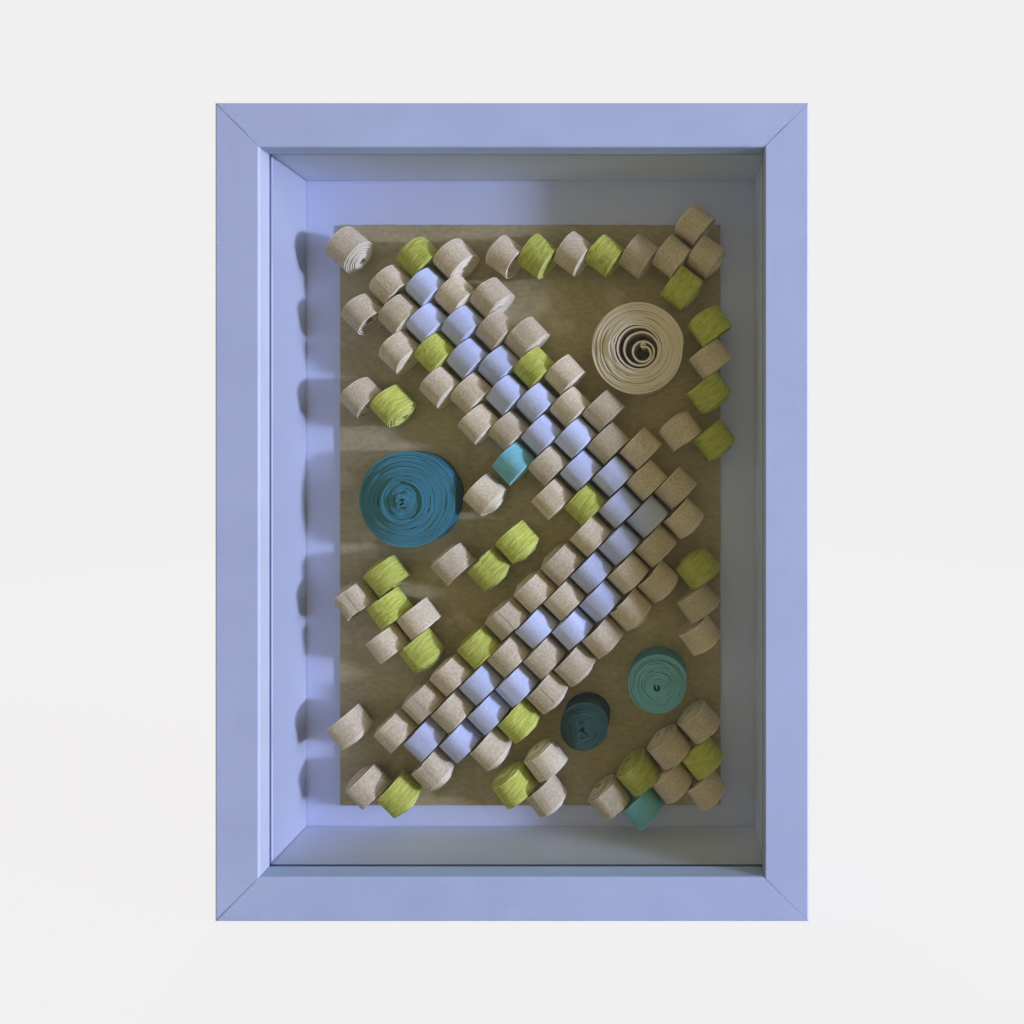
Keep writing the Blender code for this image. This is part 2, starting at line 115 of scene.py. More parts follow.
class Socket:
    """One output of a shader node, which can be used in sums as a number can."""

    def __init__(self, nodes: "Nodes", output: bpy.types.NodeSocket) -> None:
        """Wraps an output of a node."""
        self.nodes = nodes
        self.output = output

    def _sum(self, operation: str, first: Number, second: Number = 0.0) -> "Socket":
        """The result of one Math node."""
        return self.nodes.make("ShaderNodeMath", {"operation": operation}, {0: first, 1: second})

    def __add__(self, other: Number) -> "Socket":
        """The sum."""
        return self._sum("ADD", self, other)

    __radd__ = __add__

    def __sub__(self, other: Number) -> "Socket":
        """The difference."""
        return self._sum("SUBTRACT", self, other)

    def __rsub__(self, other: Number) -> "Socket":
        """The difference, with this value taken away."""
        return self._sum("SUBTRACT", other, self)

    def __mul__(self, other: Number) -> "Socket":
        """The product."""
        return self._sum("MULTIPLY", self, other)

    __rmul__ = __mul__

    def __pow__(self, other: Number) -> "Socket":
        """The power."""
        return self._sum("POWER", self, other)

    def __abs__(self) -> "Socket":
        """The size without its sign."""
        return self._sum("ABSOLUTE", self)

    def sine(self) -> "Socket":
        """The sine."""
        return self._sum("SINE", self)

    def least(self, other: Number) -> "Socket":
        """The smaller of the two values."""
        return self._sum("MINIMUM", self, other)

    def most(self, other: Number) -> "Socket":
        """The larger of the two values."""
        return self._sum("MAXIMUM", self, other)

    def ramp(self, low: float, high: float) -> "Socket":
        """Fades softly from 0 to 1 as the value goes from low to high."""
        return self.nodes.make(
            "ShaderNodeMapRange", {"interpolation_type": "SMOOTHSTEP"}, {0: self, 1: low, 2: high}
        )

    def sibling(self, name: str) -> "Socket":
        """Another output of the same node."""
        return Socket(self.nodes, self.output.node.outputs[name])


class Nodes:
    """The node tree of a material or of the world."""

    def __init__(self, tree: bpy.types.NodeTree) -> None:
        """Empties the tree that it works on."""
        self.tree = tree
        tree.nodes.clear()

    def make(
        self,
        kind: str,
        settings: dict[str, Any] | None = None,
        sockets: dict[int | str, Any] | None = None,
        output: int | str = 0,
    ) -> Socket:
        """Adds a node.

        Args:
            kind: The node's type.
            settings: Its settings by name.
            sockets: A value or a link for each of its inputs by name or number.
            output: The name or number of the output that is wanted.

        Returns:
            That output.
        """
        node = self.tree.nodes.new(kind)
        for name, value in (settings or {}).items():
            setattr(node, name, value)
        for name, value in (sockets or {}).items():
            self._feed(node.inputs[name], value)
        return Socket(self, node.outputs[output] if node.outputs else None)

    def _feed(self, socket: bpy.types.NodeSocket, value: Any) -> None:
        """Links a value to an input, or sets it there."""
        if isinstance(value, Socket):
            self.tree.links.new(value.output, socket)
        elif socket.type == "RGBA":
            socket.default_value = (*value, 1.0)
        else:
            socket.default_value = value

    def place(self) -> Socket:
        """The place on the object, in metres."""
        return self.make("ShaderNodeTexCoord", output="Object")

    def strip(self) -> Socket:
        """The place on a strip of paper, in centimetres along it and across it."""
        return self.make("ShaderNodeUVMap", {"uv_map": STRIP_MAP})

    def tint(self) -> Socket:
        """The shade of a strip among those of its colour, from 0 to 1."""
        return self.make("ShaderNodeAttribute", {"attribute_name": TINT}, output="Fac")

    def part(self, vector: Socket, axis: str) -> Socket:
        """One part of a vector, X, Y or Z."""
        return self.make("ShaderNodeSeparateXYZ", {}, {0: vector}, axis)

    def stretch(self, vector: Socket, scales: Sequence[float]) -> Socket:
        """The vector with each of its parts scaled."""
        return self.make("ShaderNodeVectorMath", {"operation": "MULTIPLY"}, {0: vector, 1: scales})

    def noise(
        self, vector: Socket, scale: float, detail: float = 2.0, rough: float = 0.5
    ) -> Socket:
        """Soft noise, mostly between 0.3 and 0.7."""
        sockets = {"Vector": vector, "Scale": scale, "Detail": detail, "Roughness": rough}
        return self.make("ShaderNodeTexNoise", {}, sockets)

    def seen(self) -> Socket:
        """1 for a ray that the camera, a mirror or clear glass sends, and 0 for a ray of light."""
        camera = self.make("ShaderNodeLightPath", output="Is Camera Ray")
        mirrored = camera.sibling("Is Glossy Ray")
        return camera.most(mirrored).most(camera.sibling("Is Transmission Ray"))

    def blend(self, share: Number, low: Any, high: Any, how: str = "MIX") -> Socket:
        """Two colours mixed, with how much of the second there is."""
        settings = {"data_type": "RGBA", "blend_type": how}
        return self.make("ShaderNodeMix", settings, {0: share, 6: low, 7: high}, 2)

    def tinted(self, colour: Any, tint: Any) -> Socket:
        """The colour times another one."""
        return self.blend(1.0, colour, tint, "MULTIPLY")

    def scaled(self, colour: Any, strength: Socket) -> Socket:
        """The colour with all of it made brighter or darker alike."""
        grey = self.make("ShaderNodeCombineXYZ", {}, {0: strength, 1: strength, 2: strength})
        return self.tinted(colour, grey)

    def glow(self, kind: str, colour: Colour, strength: float = 1.0) -> Socket:
        """A shader that gives off light, Emission for a surface and Background for the world."""
        return self.make(f"ShaderNode{kind}", {}, {"Color": colour, "Strength": strength})

    def mixed(self, share: Number, low: Socket, high: Socket) -> Socket:
        """Two shaders mixed, with how much of the second there is."""
        return self.make("ShaderNodeMixShader", {}, {0: share, 1: low, 2: high})

    def end(self, shader: Socket, kind: str = "Material") -> None:
        """Ends the tree in a shader."""
        self.make(f"ShaderNodeOutput{kind}", {}, {"Surface": shader})

    def surface(self, height: Socket, relief: float, **sockets: Any) -> None:
        """Ends a material in one Principled shader.

        Args:
            height: The height of the surface's relief, from 0 to 1.
            relief: How deep that is, in metres.
            **sockets: The shader's other inputs, with _ for each space in a name.
        """
        relief_sockets = {"Strength": 1.0, "Distance": relief, "Height": height}
        inputs = {name.replace("_", " "): value for name, value in sockets.items()}
        inputs["Normal"] = self.make("ShaderNodeBump", {}, relief_sockets)
        self.end(self.make("ShaderNodeBsdfPrincipled", {}, inputs))


@dataclass(frozen=True)
class Finish:
    """A material, whose nodes each kind of finish lays in its own way."""

    name: str

    def make(self) -> bpy.types.Material:
        """Makes the material.

        Returns:
            The material.
        """
        material = bpy.data.materials.new(self.name)
        material.use_nodes = True
        self.lay(Nodes(material.node_tree))
        return material

    def lay(self, nodes: Nodes) -> None:
        """Lays the material's nodes."""
        raise NotImplementedError


class Run(Enum):
    """The way in which a rail runs."""

    ACROSS = "X"
    UP = "Z"


@dataclass(frozen=True)
class FoilFinish(Finish):
    """White foil with a faint grain, wrapped round a rail, with painted shade on the side that
    faces the opening."""

    run: Run
    middle: float
    opening: float
    # inner: painted shade, a tint that darkens the rail's faces towards the opening
    inner: Colour = (0.69, 0.64, 0.5)
    colour: Colour = tone(166, 176, 203)
    dark: Colour = tone(158, 168, 195)
    cloud_scale: float = 38.0
    speckle_scale: float = 900.0
    grain_scale: float = 900.0
    grain_stretch: float = 0.014

    def lay(self, nodes: Nodes) -> None:
        """Lays the nodes of a rail.

        Args:
            nodes: The material's nodes.
        """
        place = nodes.place()
        scales = [self.grain_stretch if axis == self.run.value else 1.0 for axis in "XYZ"]
        grain = nodes.noise(nodes.stretch(place, scales), self.grain_scale, 3.0, 0.6)
        cloud = nodes.noise(place, self.cloud_scale, 3.0, 0.6)
        speckle = nodes.noise(place, self.speckle_scale)
        shade = cloud * 0.55 + grain * 0.2 + speckle * 0.25
        across = nodes.part(place, "X" if self.run is Run.UP else "Z") - self.middle
        # outer is 1 on the rail's outer faces and 0 on those towards the opening, which get inner's
        # painted shade
        outer = abs(across).ramp(self.opening + 0.05 * MM, self.opening + 0.3 * MM)
        colour = nodes.blend(shade.ramp(0.3, 0.7), self.dark, self.colour)
        nodes.surface(
            grain, 0.015 * MM,
            Base_Color=nodes.tinted(colour, nodes.blend(outer, self.inner, WHITE)),
            Roughness=0.46 + grain * 0.12, Specular_IOR_Level=0.4,
        )


@dataclass(frozen=True)
class SeamFinish(Finish):
    """The glue and the foil's ends in a mitre, which gapes darkly here and there."""

    colour: Colour = tone(146, 155, 188)
    dark: Colour = tone(88, 95, 124)
    gape_scale: float = 52.0

    def lay(self, nodes: Nodes) -> None:
        """Lays the nodes of the four mitres.

        Args:
            nodes: The material's nodes.
        """
        gaping = nodes.noise(nodes.place(), self.gape_scale, 3.0).ramp(0.48, 0.64)
        nodes.surface(
            gaping, 0.02 * MM, Base_Color=nodes.blend(gaping, self.colour, self.dark),
            Roughness=0.7 + gaping * 0.1, Specular_IOR_Level=0.2,
        )


@dataclass(frozen=True)
class BoardFinish(Finish):
    """White board with a matt, slightly fibrous face, and a painted shadow line and a painted
    highlight line where it meets the glass."""

    front: float
    colour: Colour = tone(224, 232, 248)
    dark: Colour = tone(214, 222, 240)
    # line: the colour of a painted shadow line along the board's front edge, by the glass
    line: Colour = tone(72, 82, 128)
    # rim: the colour of a painted highlight line a little behind the shadow line
    rim: Colour = tone(226, 232, 246)
    fibre_scale: float = 1500.0
    cloud_scale: float = 35.0
    # The scale of the noise that breaks up the painted highlight
    wear_scale: float = 21.0

    def lay(self, nodes: Nodes) -> None:
        """Lays the nodes of the lining.

        Args:
            nodes: The material's nodes.
        """
        place = nodes.place()
        fibres = nodes.noise(nodes.stretch(place, (1.0, 1.0, 0.3)), self.fibre_scale, 3.0, 0.6)
        cloud = nodes.noise(place, self.cloud_scale)
        behind = nodes.part(place, "Y") - self.front
        # Painted highlight: a pale band 1.2 to 2.4 mm behind the front edge, broken up by noise
        light = behind.ramp(1.2 * MM, 1.5 * MM) - behind.ramp(1.9 * MM, 2.4 * MM)
        wear_and_highlight_breakup = nodes.noise(place, self.wear_scale).ramp(0.35, 0.55)
        colour = nodes.blend(fibres * 0.5 + cloud * 0.5, self.dark, self.colour)
        colour = nodes.blend(light * wear_and_highlight_breakup * 0.6, colour, self.rim)
        # Painted shadow: a dark line in the first millimetre behind the board's front edge
        colour = nodes.blend((1.0 - behind.ramp(0.9 * MM, 1.2 * MM)) * 0.85, colour, self.line)
        nodes.surface(
            fibres, 0.04 * MM, Base_Color=colour, Roughness=0.68 + fibres * 0.14,
            Specular_IOR_Level=0.3,
        )


@dataclass(frozen=True)
class PanelFinish(Finish):
    """Hardboard, white on its front and bare brown with a mesh print on its back and edges."""

    front: float
    white: Colour = tone(210, 217, 250)
    dull: Colour = tone(200, 208, 240)
    brown: Colour = tone(142, 108, 78)
    dark: Colour = tone(104, 76, 54)
    cloud_scale: float = 28.0
    fibre_scale: float = 1300.0
    fleck_scale: float = 900.0
    mesh_turn: float = 3600.0

    def lay(self, nodes: Nodes) -> None:
        """Lays the nodes of the back panel.

        Args:
            nodes: The material's nodes.
        """
        place = nodes.place()
        cloud = nodes.noise(place, self.cloud_scale, 3.0)
        white = nodes.blend(cloud, self.dull, self.white)
        fibres = nodes.noise(place, self.fibre_scale, 4.0, 0.7)
        flecks = nodes.noise(place, self.fleck_scale, 3.0, 0.7).ramp(0.45, 0.7)
        brown = nodes.blend(fibres * 0.6 + flecks * 0.4, self.brown, self.dark)
        back = nodes.part(place, "Y").ramp(self.front + 0.1 * MM, self.front + 0.2 * MM)
        print_height = self._print_height(nodes, place)
        nodes.surface(
            fibres * 0.4 + print_height * back * 0.6, 0.12 * MM,
            Base_Color=nodes.blend(back, white, brown),
            Roughness=0.72 + fibres * 0.14, Specular_IOR_Level=0.3,
        )

    def _print_height(self, nodes: Nodes, place: Socket) -> Socket:
        """The height of the print of the press's wire mesh."""
        across, up = (nodes.part(place, axis) * self.mesh_turn for axis in "XZ")
        return across.sine() * up.sine() * 0.5 + 0.5


@dataclass(frozen=True)
class GlassFinish(Finish):
    """Thin clear glass, which shows a reflection only at a slant."""

    clear: Colour = (0.985, 0.992, 0.99)
    straight_share: float = 0.006
    slant_share: float = 1.3
    most_share: float = 0.95

    def lay(self, nodes: Nodes) -> None:
        """Lays the nodes of the pane.

        Args:
            nodes: The material's nodes.
        """
        slant = nodes.make("ShaderNodeLayerWeight", {}, {"Blend": 0.5}, "Facing")
        mirror = {"Base Color": WHITE, "Roughness": 0.03, "Metallic": 1.0}
        shine = nodes.make("ShaderNodeBsdfPrincipled", {}, mirror)
        clear = nodes.make("ShaderNodeBsdfTransparent", {}, {"Color": self.clear})
        share = (slant ** 4.0 * self.slant_share + self.straight_share).least(self.most_share)
        nodes.end(nodes.mixed(share, clear, shine))


@dataclass(frozen=True)
class SteelFinish(Finish):
    """Zinc-plated steel, dull and faintly mottled."""

    colour: Colour = tone(190, 192, 196)
    dark: Colour = tone(142, 145, 152)
    mottle_scale: float = 420.0
    scratch_scale: float = 2600.0

    def lay(self, nodes: Nodes) -> None:
        """Lays the nodes of the tabs, the hanger and its nails.

        Args:
            nodes: The material's nodes.
        """
        place = nodes.place()
        mottle = nodes.noise(place, self.mottle_scale, 3.0, 0.6)
        scratch = nodes.noise(nodes.stretch(place, (0.06, 1.0, 1.0)), self.scratch_scale)
        nodes.surface(
            scratch, 0.01 * MM,
            Base_Color=nodes.blend(mottle.ramp(0.3, 0.7), self.dark, self.colour),
            Roughness=0.3 + mottle * 0.25, Metallic=1.0,
        )


@dataclass(frozen=True)
class KraftFinish(Finish):
    """Brown kraft card with fibres, a few specks and pale smears of dried glue."""

    colour: Colour = tone(188, 176, 142)
    dark: Colour = tone(157, 145, 109)
    speck: Colour = tone(212, 202, 174)
    fleck: Colour = tone(104, 88, 60)
    cloud_scale: float = 24.0
    pulp_scale: float = 620.0
    glue_scale: float = 62.0
    speck_scale: float = 520.0
    fleck_scale: float = 610.0

    def lay(self, nodes: Nodes) -> None:
        """Lays the nodes of the card.

        Args:
            nodes: The material's nodes.
        """
        place = nodes.place()
        cloud = nodes.noise(place, self.cloud_scale, 3.0, 0.6).ramp(0.3, 0.7)
        pressed = nodes.stretch(place, (0.5, 1.0, 1.0))
        pulp = nodes.noise(pressed, self.pulp_scale, 4.0, 0.65).ramp(0.3, 0.7)
        glue = nodes.noise(place, self.glue_scale).ramp(0.6, 0.68)
        colour = nodes.blend(cloud * 0.5 + pulp * 0.5, self.dark, self.colour)
        specks = nodes.noise(place, self.speck_scale).ramp(0.71, 0.735)
        flecks = nodes.noise(place, self.fleck_scale, 3.0).ramp(0.69, 0.72)
        colour = nodes.blend(specks * 0.6, colour, self.speck)
        colour = nodes.blend(flecks * 0.5, colour, self.fleck)
        colour = nodes.blend(glue * 0.22, colour, self.speck)
        nodes.surface(
            pulp, 0.1 * MM, Base_Color=colour, Roughness=0.86 - glue * 0.3,
            Specular_IOR_Level=0.25,
        )


@dataclass(frozen=True)
class PaperFinish(Finish):
    """Dyed or natural paper, as a strip on whose map the fibres, ribs and cut edges lie."""

    colour: Colour
    dark: Colour
    edge: Colour
    width: float
    fleck: Colour = tone(120, 100, 76)
    rib_share: float = 0.0
    fibre_share: float = 0.5
    fleck_share: float = 0.0
    shade_share: float = 0.12
    edge_share: float = 0.5
    relief: float = 0.08 * MM
    edge_fade: tuple[float, float] = (0.008, 0.036)
    fibre_scale: float = 9.0
    cloud_scales: tuple[float, float] = (1.6, 8.0)
    fleck_scale: float = 17.0

    def lay(self, nodes: Nodes) -> None:
        """Lays the nodes of the strips of one colour.

        Args:
            nodes: The material's nodes.
        """
        strip = nodes.strip()
        wide, fine = self.cloud_scales
        fibres = nodes.noise(strip, self.fibre_scale, 4.0, 0.65)
        cloud = nodes.noise(strip, wide) * 0.5 + nodes.noise(strip, fine, 3.0, 0.6) * 0.5
        creped = nodes.stretch(strip, (0.2, 1.0, 1.0))
        ribs = nodes.noise(creped, self.fibre_scale, 2.0, 0.45).ramp(0.32, 0.68)
        body = fibres.ramp(0.36, 0.64) * self.fibre_share
        body = body + cloud.ramp(0.3, 0.7) * (1.0 - self.fibre_share)
        height = body * (1.0 - self.rib_share) + ribs * self.rib_share
        colour = nodes.blend(height, self.dark, self.colour)
        flecks = nodes.noise(strip, self.fleck_scale).ramp(0.67, 0.72) * self.fleck_share
        colour = nodes.blend(flecks, colour, self.fleck)
        colour = nodes.blend(self._edge(nodes, strip) * self.edge_share, colour, self.edge)
        shade = nodes.tint() * (2 * self.shade_share) + (1.0 - self.shade_share)
        nodes.surface(
            height, self.relief, Base_Color=nodes.scaled(colour, shade),
            Roughness=0.8 + fibres * 0.12, Specular_IOR_Level=0.2,
        )

    def _edge(self, nodes: Nodes, strip: Socket) -> Socket:
        """1 along the strip's two cut edges, and 0 a hair's breadth from them."""
        across = nodes.part(strip, "Y")
        return 1.0 - across.least(self.width / CM - across).ramp(*self.edge_fade)


class Paper(Enum):
    """The papers of the rolls, by their letters in the charts."""

    NATURAL = "n"
    PERIWINKLE = "p"
    LIME = "l"
    TURQUOISE = "t"

    @property
    def colour_name(self) -> str:
        """Its name in the names of pieces and nodes."""
        return self.name.lower()

    @property
    def slot(self) -> str:
        """The record's material slot for its rolls."""
        return "natural_paper" if self is Paper.PERIWINKLE else f"{self.colour_name}_paper"


ROLL_WIDTH = 0.0104
WIDE_ROLL = 0.0109
COIL_WIDTH = 0.0118

ROLL_FINISHES = {
    Paper.NATURAL: PaperFinish(
        "natural_paper", tone(222, 207, 180), tone(184, 169, 142), tone(246, 236, 216), ROLL_WIDTH,
        fleck_share=0.8, edge_share=0.8, relief=0.13 * MM,
    ),
    Paper.PERIWINKLE: PaperFinish(
        "periwinkle_paper", tone(204, 212, 243), tone(184, 193, 226), tone(226, 232, 250),
        ROLL_WIDTH, edge_share=0.7, relief=0.09 * MM,
    ),
    Paper.LIME: PaperFinish(
        "lime_crepe", tone(202, 207, 108), tone(162, 168, 60), tone(222, 226, 138), WIDE_ROLL,
        rib_share=0.55, relief=0.28 * MM, edge_share=0.6,
    ),
    Paper.TURQUOISE: PaperFinish(
        "turquoise_paper", tone(130, 198, 208), tone(104, 170, 182), tone(176, 224, 230), WIDE_ROLL,
        rib_share=0.2, edge_share=0.7,
    ),
}
BLUE_PAPER = PaperFinish(
    "blue_paper", tone(52, 115, 134), tone(32, 86, 103), tone(76, 142, 161), COIL_WIDTH,
    shade_share=0.1, edge_share=0.8,
)
TAN_PAPER = PaperFinish(
    "tan_paper", tone(226, 213, 192), tone(194, 180, 156), tone(242, 232, 212), COIL_WIDTH,
    fleck_share=0.3, edge_share=0.8,
)
SEA_PAPER = PaperFinish(
    "sea_paper", tone(105, 170, 185), tone(75, 140, 153), tone(130, 194, 208), COIL_WIDTH,
    edge_share=0.8,
)
DARK_PAPER = PaperFinish(
    "dark_teal_paper", tone(40, 68, 66), tone(24, 50, 50), tone(54, 84, 80), COIL_WIDTH,
    edge_share=0.8,
)


def coat(piece: bpy.types.Object, material: bpy.types.Material) -> None:
    """Gives a piece one material in place of what it had."""
    piece.data.materials.clear()
    piece.data.materials.append(material)


def finish_piece(
    piece: bpy.types.Object, material: bpy.types.Material, nodes: Iterable[str], slot: str
) -> None:
    """Gives a new piece its finish, parents it to the body and hides the nodes it stands for.

    Args:
        piece: The piece.
        material: Its material.
        nodes: The CAD nodes that it stands for.
        slot: Not used.
    """
    coat(piece, material)
    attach(piece, BODY)
    if nodes:
        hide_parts(*nodes)
    LOG.info("%s: %d faces", piece.name, len(piece.data.polygons))


def new_object(name: str, bm: bmesh.types.BMesh) -> bpy.types.Object:
    """Makes an object of a bmesh, which it frees.

    Args:
        name: The object's name.
        bm: Its shape, in the row frame.

    Returns:
        The object, at the origin.
    """
    mesh = bpy.data.meshes.new(name)
    bm.to_mesh(mesh)
    bm.free()
    made = bpy.data.objects.new(name, mesh)
    bpy.context.scene.collection.objects.link(made)
    return made


def smooth(mesh: bpy.types.Mesh) -> None:
    """Shades a mesh smooth, apart from its sharp edges."""
    mesh.shade_smooth()
    mesh.set_sharp_from_angle(angle=SHARP)


def thicken(made: bpy.types.Object, thickness: float, side: float = 0.0) -> None:
    """Gives a sheet or strip its thickness and keeps the result as its mesh.

    Args:
        made: The object.
        thickness: How thick it gets.
        side: Where that goes: 0 for both sides, 1 for the side that it faces, -1 for the other.
    """
    wall = made.modifiers.new("thickness", "SOLIDIFY")
    wall.thickness = thickness
    wall.offset = side
    wall.vertex_group = made.vertex_groups[0].name if made.vertex_groups else ""
    wall.use_even_offset = True
    ready = made.evaluated_get(bpy.context.evaluated_depsgraph_get())
    thin, thick = made.data, bpy.data.meshes.new_from_object(ready)
    made.modifiers.clear()
    made.data = thick
    bpy.data.meshes.remove(thin)
    thick.name = made.name
    made.vertex_groups.clear()
    smooth(thick)


class StripBench:
    """Winds strips of paper and gathers them into one piece. Each strip has a stretch of the map
    of its own."""

    MAP_STRETCH = 37.0
    FRAY_SCALE = 900.0

    def __init__(self, name: str, thickness: float) -> None:
        """Starts an empty piece of strips of one thickness."""
        self.name = name
        self.thickness = thickness
        self.bm = bmesh.new()
        self.map = self.bm.loops.layers.uv.new(STRIP_MAP)
        self.tint = self.bm.verts.layers.float.new(TINT)
        self.weight = self.bm.verts.layers.deform.verify()
        self.count = 0

    def wind(
        self, line: Sequence[Vector], width: float, place: Matrix, tint: float, fray: float = 0.0
    ) -> None:
        """Stands a strip on a line and puts it in its place. Its outer end is pared thin.

        Args:
            line: The middle line of the strip's lower edge, from its outer end to its inner one.
            width: The strip's width, along the axis of the winding.
            place: Where the winding goes.
            tint: The strip's shade, from 0 to 1.
            fray: How far its long edges waver.
        """
        bm = self.bm
        low = [bm.verts.new(point) for point in line]
        edges = [bm.edges.new(pair) for pair in zip(low, low[1:])]
        drawn = bmesh.ops.extrude_edge_only(bm, edges=edges)["geom"]
        high = [item for item in drawn if isinstance(item, bmesh.types.BMVert)]
        faces = [item for item in drawn if isinstance(item, bmesh.types.BMFace)]
        bmesh.ops.translate(bm, vec=(0.0, 0.0, width), verts=high)
        reach = self._reach(low, high, width)
        self.count += 1
        for face in faces:
            for loop in face.loops:
                loop[self.map].uv = reach[loop.vert]
        for vert in (*low, *high):
            vert[self.tint] = tint
            if fray:
                spot = vert.co * self.FRAY_SCALE + Vector((self.count, 0, 0))
                vert.co += noise.noise_vector(spot) * fray
        bmesh.ops.transform(bm, matrix=place, verts=[*low, *high])

    def _reach(
        self, low: Sequence[bmesh.types.BMVert], high: Sequence[bmesh.types.BMVert], width: float
    ) -> dict[bmesh.types.BMVert, Vector]:
        """Maps the strip.

        Args:
            low: The points of its lower edge, in order.
            high: The points of its upper edge.
            width: Its width.

        Returns:
            The place of each point on the map, in centimetres.
        """
        start = along = self.count * self.MAP_STRETCH
        reach = {}
        for number, vert in enumerate(low):
            if number:
                along += (vert.co - low[number - 1].co).length / CM
            reach[vert] = Vector((along, 0.0))
        lower = dict(reach)
        for vert in high:
            around = (edge.other_vert(vert) for edge in vert.link_edges)
            below = next(other for other in around if other in lower)
            reach[vert] = Vector((reach[below].x, width / CM))
        for vert, spot in reach.items():
            vert[self.weight][0] = between((spot.x - start) * CM, PARED_END)
        return reach

    def _rank(self, item: Union[bmesh.types.BMEdge, bmesh.types.BMFace]) -> float:
        """A number that rises along the strips, from their first edge or face to their last."""
        numbers = [vert.index for vert in item.verts]
        return float(min(numbers) * len(self.bm.verts) + max(numbers))

    def finish(self, material: bpy.types.Material, nodes: Iterable[str], slot: str) -> None:
        """Makes the piece, with its edges and faces in the same order each time.

        Args:
            material: Its material.
            nodes: The CAD nodes that it stands for.
            slot: The material slot of the record.
        """
        self.bm.verts.index_update()
        for items in (self.bm.edges, self.bm.faces):
            items.sort(key=self._rank)
        made = new_object(self.name, self.bm)
        made.vertex_groups.new(name="thickness")
        thicken(made, self.thickness)
        finish_piece(made, material, nodes, slot)


@dataclass(frozen=True)
class Card:
    """The kraft card that carries the rolls and the coils."""

    half_width: float = 0.0845
    bottom: float = 0.026
    top: float = 0.284
    front: float = 0.0133
    thickness: float = 0.001
    wave: float = 0.00012
    wave_scale: float = 18.0
    wear: float = 0.0003
    wear_scale: float = 160.0
    wear_reach: float = 0.001
    cells: tuple[int, int] = (44, 66)

    @property
    def width(self) -> float:
        """The card's width."""
        return 2 * self.half_width

    @property
    def height(self) -> float:
        """The card's height."""
        return self.top - self.bottom

    def point(self, place: tuple[float, float]) -> Vector:
        """A place that is given in shares of the card's width and height, in metres."""
        return Vector((place[0] * self.width, place[1] * self.height))

    def stand(self, middle: Vector, lift: float) -> Matrix:
        """The place of a shape that stands on the card, lifted off it, with its Z pointing out."""
        spot = (middle.x, self.front - lift, (self.bottom + self.top) / 2 + middle.y)
        return Matrix.Translation(spot) @ Matrix.Rotation(math.pi / 2, 4, "X")

    def make(self) -> None:
        """Makes the card as a thin sheet that isn't quite flat."""
        bm = bmesh.new()
        bmesh.ops.create_grid(bm, x_segments=self.cells[0], y_segments=self.cells[1], size=0.5)
        bmesh.ops.scale(bm, vec=(self.width, self.height, 1.0), verts=bm.verts)
        for vert in bm.verts:
            vert.co.z -= abs(noise.noise(vert.co * self.wave_scale)) * self.wave
            edge = min(self.width / 2 - abs(vert.co.x), self.height / 2 - abs(vert.co.y))
            if edge < self.wear_reach:
                wear_and_highlight_breakup = abs(noise.noise(vert.co * self.wear_scale)) * self.wear
                vert.co.xy *= 1 - wear_and_highlight_breakup / self.half_width
        bmesh.ops.transform(bm, matrix=self.stand(Vector((0.0, 0.0)), 0.0), verts=bm.verts)
        made = new_object("kraft_card", bm)
        thicken(made, self.thickness, -1.0)
        finish_piece(made, KraftFinish("kraft").make(), ["card_with_rolls"], "natural_paper")


def ways(lean: float) -> tuple[Vector, Vector]:
    """The ways on the card along an axis that leans down from level, and across it."""
    return Vector((math.cos(lean), -math.sin(lean))), Vector((math.sin(lean), math.cos(lean)))


@dataclass(frozen=True)
class Roll:
    """One roll: its paper, its middle on the card, how far its axis leans down from level, and how
    its winding came out."""

    paper: Paper
    middle: Vector
    lean: float
    size_share: float
    lap_side: int
    push_share: float

    def from_middle(self, point: Vector) -> tuple[float, float]:
        """How far a point on the card is from its middle, along its axis and across it."""
        return tuple(abs((point - self.middle).dot(way)) for way in ways(self.lean))


@dataclass(frozen=True)
class Patch:
    """Rolls laid as bricks. The chart's words follow each other along the rolls' axes, and a
    word's letters, which name papers, run side by side. A dot is a bare place."""

    place: tuple[float, float]
    lean: float
    chart: str


